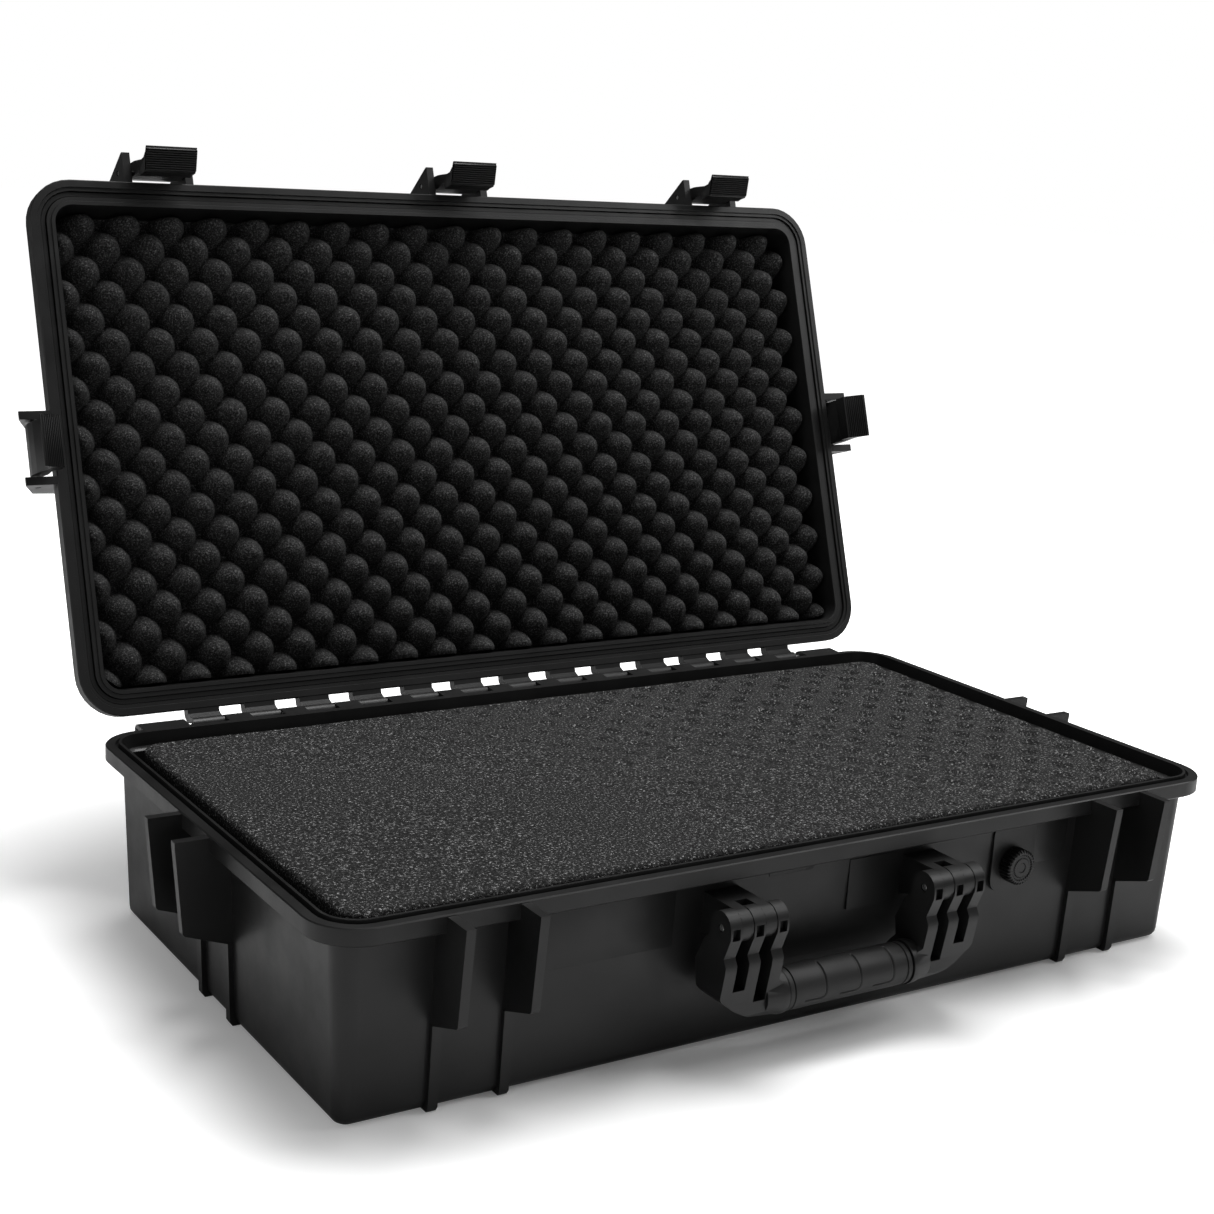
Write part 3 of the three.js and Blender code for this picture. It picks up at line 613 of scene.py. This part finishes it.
def latchOutline():
    look = latch

    def at(out, down):
        return (-(out - look["pinOut"]), -(down + look["pinUp"]))

    lip, heel = (0.0134, 0.036), (-0.0032, 0.0262)
    # the plate's ribbed face runs from its lip to its heel
    face = []
    for i in range(look["ribs"]):
        for part, high in ((0.06, 0), (0.42, 1), (0.62, 1), (0.94, 0)):
            t = (i + part) / look["ribs"]
            out = lip[0] - 0.0016 + (heel[0] - lip[0] + 0.0016) * t
            down = lip[1] + (heel[1] - lip[1]) * t
            # a rib stands square to the face
            sunk = look["ribHeight"] * (high - 1)
            face.append(at(out - 0.5 * sunk, down + 0.86 * sunk))
    outline = [at(look["pinOut"] + look["boss"], -look["pinUp"]), at(0.016, -0.006), at(0.014, 0.004),
               at(0.011, 0.013), at(0.0086, 0.020), at(0.0082, 0.0245)]
    # grip lines on the outer face, just above the lip
    for i in range(4):
        t = i / 4
        y, z = 0.0086 + 0.0022 * t, 0.0262 + 0.0048 * t
        outline += [at(y - 0.0005, z - 0.0002), at(y, z),
                    at(y + 0.0002, z + 0.0007), at(y - 0.0002, z + 0.001)]
    outline += [at(0.0140, 0.0344), at(lip[0], lip[1])] + face + [
        at(-look["bite"] - 0.001, 0.0242), at(-look["bite"], 0.0176), at(-look["bite"], look["hookTop"]),
        at(0.003, look["hookTop"]), at(0.0034, 0.0116), at(0.0034, -0.008)]
    outline += arcPoints((0, 0), look["boss"], 20, 165, 8)
    return outline


def makeLatch(name, turn, along, out, gap):
    half = finGap / 2 - gap
    piece = traceOutline(name + "Lever", latchOutline(), -half, half)
    # only the outline of the two ends is rounded, the ribs stay crisp
    selectEdges(piece, lambda edge: all(abs(abs(v.co.x) - half) < 1e-5 for v in edge.verts))
    bpy.ops.mesh.bevel(offset=0.0004, offset_type="OFFSET", segments=2, affect="EDGES")
    bpy.ops.object.mode_set(mode="OBJECT")
    # from its own pin to its side of the closed lid, then open with the lid
    pin = Matrix.Translation((along, -latch["pinOut"], case["rimHeight"] + latch["pinUp"]))
    side = Matrix.Rotation(math.radians(turn), 4, "Z")
    mount = Matrix.Translation(side @ Vector((0, -out, 0)))
    piece.matrix_world = lidOpen @ mount @ side @ pin @ Matrix.Rotation(-latch["rest"], 4, "X")
    return finishPiece(piece, name, "latch_plastic", latchPlastic, name, smooth=30)


for place in latchPlaces:
    makeLatch(*place)
print("latches")


# ---- stage ----
camera = dict(azimuth=-33.1044, elevation=13.1705, roll=3.3358, distance=1.53713,
              across=-0.05191, up=0.24657, lens=58.014)


def makeCamera():
    azimuth, elevation, roll = (math.radians(camera[k]) for k in ("azimuth", "elevation", "roll"))
    back = Vector((math.sin(azimuth) * math.cos(elevation), -math.cos(azimuth) * math.cos(elevation),
                   math.sin(elevation)))
    right = (-back).cross(Vector((0, 0, 1))).normalized()
    up = right.cross(-back)
    place = back * camera["distance"] + right * camera["across"] + up * camera["up"]
    tiltRight = right * math.cos(roll) + up * math.sin(roll)
    tiltUp = -right * math.sin(roll) + up * math.cos(roll)
    lens = bpy.data.cameras.new("camera")
    lens.lens = camera["lens"]
    lens.sensor_width = 36
    lens.clip_end = 50
    body = bpy.data.objects.new("camera", lens)
    turn = Matrix((tiltRight, tiltUp, back)).transposed().to_4x4()
    body.matrix_world = Matrix.Translation(place) @ turn
    bpy.context.collection.objects.link(body)
    bpy.context.scene.camera = body


def makeLights():
    lights = [
        # name, place, aim, size, power
        ("leftBox", (-2.4, -0.4, 1.2), (0, 0, 0.15), (1.2, 1.6), 7),
        ("frontBox", (0.2, -2.8, 0.8), (0, 0.1, 0.1), (2.4, 0.8), 4),
        ("rightBox", (2.0, -0.9, 2.1), (0, 0, 0.3), (1.6, 1.6), 30),
        ("topBox", (0.3, 0.3, 2.4), (0, 0, 0), (1.6, 1.2), 62),
    ]
    for name, place, aim, size, power in lights:
        data = bpy.data.lights.new(name, "AREA")
        data.shape = "RECTANGLE"
        data.size, data.size_y = size
        data.energy = power
        lamp = bpy.data.objects.new(name, data)
        lamp.location = place
        lamp.rotation_euler = (Vector(place) - Vector(aim)).to_track_quat("Z", "Y").to_euler()
        bpy.context.collection.objects.link(lamp)
    world = bpy.context.scene.world or bpy.data.worlds.new("studio")
    bpy.context.scene.world = world
    world.use_nodes = True
    tree = world.node_tree
    shade = tree.nodes["Background"]
    shade.inputs["Color"].default_value = (1, 1, 1, 1)
    shade.inputs["Strength"].default_value = 0.10
    # the camera sees a plain white wall, the case a dim room
    wall = tree.nodes.new("ShaderNodeBackground")
    wall.inputs["Strength"].default_value = 1.0
    wall.inputs["Color"].default_value = (1, 1, 1, 1)
    seen = tree.nodes.new("ShaderNodeLightPath")
    mix = tree.nodes.new("ShaderNodeMixShader")
    tree.links.new(seen.outputs["Is Camera Ray"], mix.inputs[0])
    tree.links.new(shade.outputs[0], mix.inputs[1])
    tree.links.new(wall.outputs[0], mix.inputs[2])
    tree.links.new(mix.outputs[0], tree.nodes["World Output"].inputs["Surface"])


def makeFloor():
    deselectAll()
    bpy.ops.mesh.primitive_plane_add(size=30, location=(0, 0, -0.0005))
    floor = bpy.context.object
    floor.name = "floor"
    material, tree, shader, place = newMaterial("floorPaper")
    tone = noiseNode(tree, place, 3, 2, 0.5)
    shade = rampNode(tree, tone.outputs["Fac"], [(0.3, 0.93), (0.7, 0.95)])
    tree.links.new(shade.outputs["Color"], shader.inputs["Base Color"])
    shader.inputs["Roughness"].default_value = 0.8
    shader.inputs["Specular IOR Level"].default_value = 0.0
    # a faint glow, stronger for the camera, so the paper runs into the white wall; it is painted light, weakest
    # near the case and full from 0.85 m out, so the floor is darker round the case and its cast shadows fade to
    # white further off
    glow = tree.nodes.new("ShaderNodeEmission")
    seen = tree.nodes.new("ShaderNodeLightPath")
    apart = tree.nodes.new("ShaderNodeVectorMath")
    apart.operation = "LENGTH"
    tree.links.new(place, apart.inputs[0])
    reach = tree.nodes.new("ShaderNodeMapRange")
    for name, value in (("From Min", 0.32), ("From Max", 0.85), ("To Min", 0.08), ("To Max", 1.0)):
        reach.inputs[name].default_value = value
    tree.links.new(apart.outputs["Value"], reach.inputs["Value"])
    level = tree.nodes.new("ShaderNodeMath")
    level.operation = "MULTIPLY"
    tree.links.new(seen.outputs["Is Camera Ray"], level.inputs[0])
    tree.links.new(reach.outputs["Result"], level.inputs[1])
    tree.links.new(level.outputs["Value"], glow.inputs["Strength"])
    both = tree.nodes.new("ShaderNodeAddShader")
    tree.links.new(shader.outputs[0], both.inputs[0])
    tree.links.new(glow.outputs[0], both.inputs[1])
    tree.links.new(both.outputs[0], tree.nodes["Material Output"].inputs["Surface"])
    floor.data.materials.append(material)


makeCamera()
makeLights()
makeFloor()
bpy.context.scene.view_settings.view_transform = "Standard"
print("stage")
